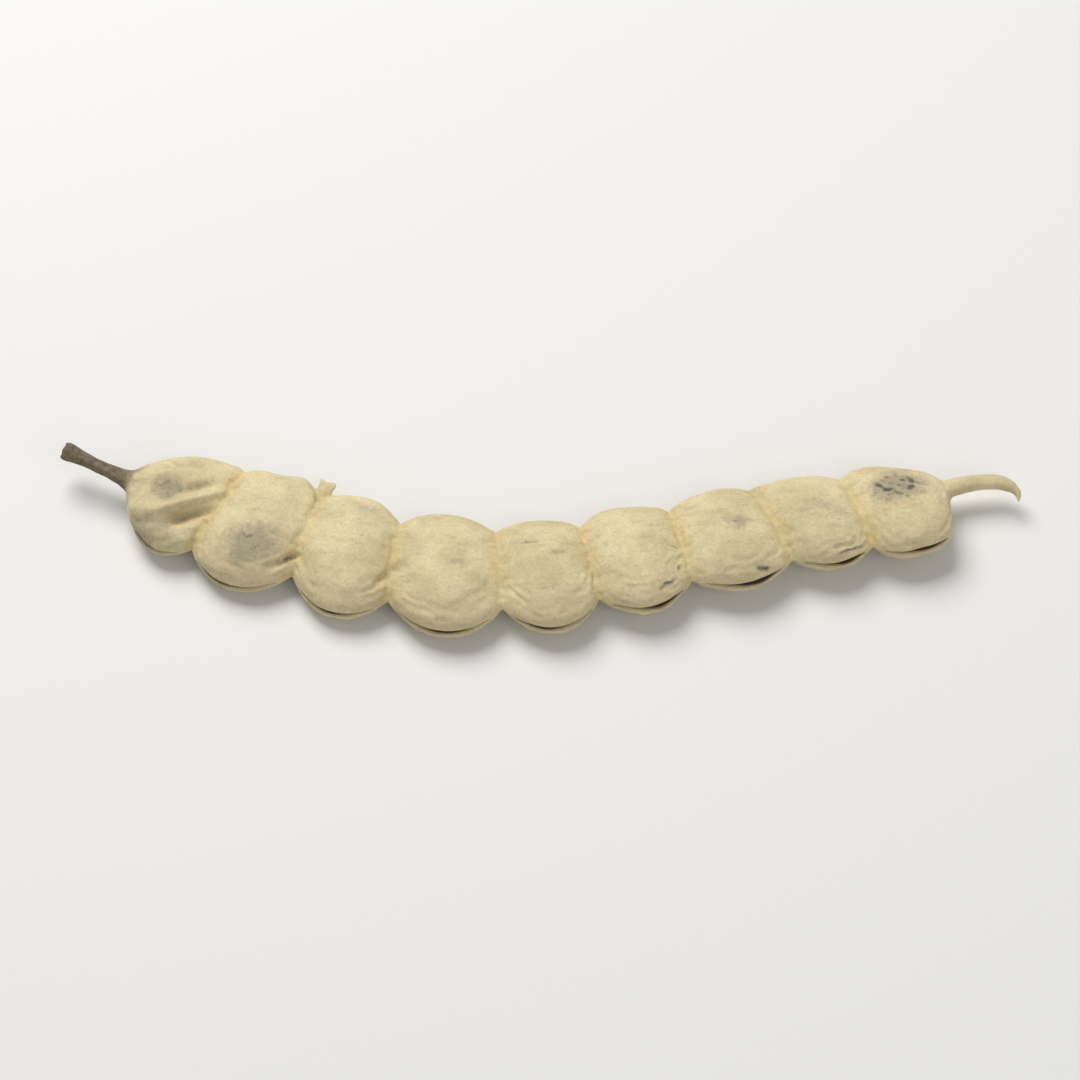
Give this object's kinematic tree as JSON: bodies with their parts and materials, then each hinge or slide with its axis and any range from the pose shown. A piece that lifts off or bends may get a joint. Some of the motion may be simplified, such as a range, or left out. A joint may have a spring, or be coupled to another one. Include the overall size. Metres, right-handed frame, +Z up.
{
  "type": "babul pod",
  "caption": "Dry babul seed pod: a flat, felted legume pinched between its seeds like a string of beads, with a short stalk and a hooked tail.",
  "frame": {"origin": "on the surface that the pod rests on, under the middle of its bounding box", "axes": "+X along the pod from its stalk to its hooked tail, +Z up through the flat of the pod, -Y towards the outer side of its bend"},
  "size_m": [0.1288, 0.029, 0.0072],
  "materials": {
    "felt": "dry, matte, cream to grey-tan felt over a woody pod wall"
  },
  "bodies": {
    "root": {"pod": "felt"}
  },
  "joints": []
}
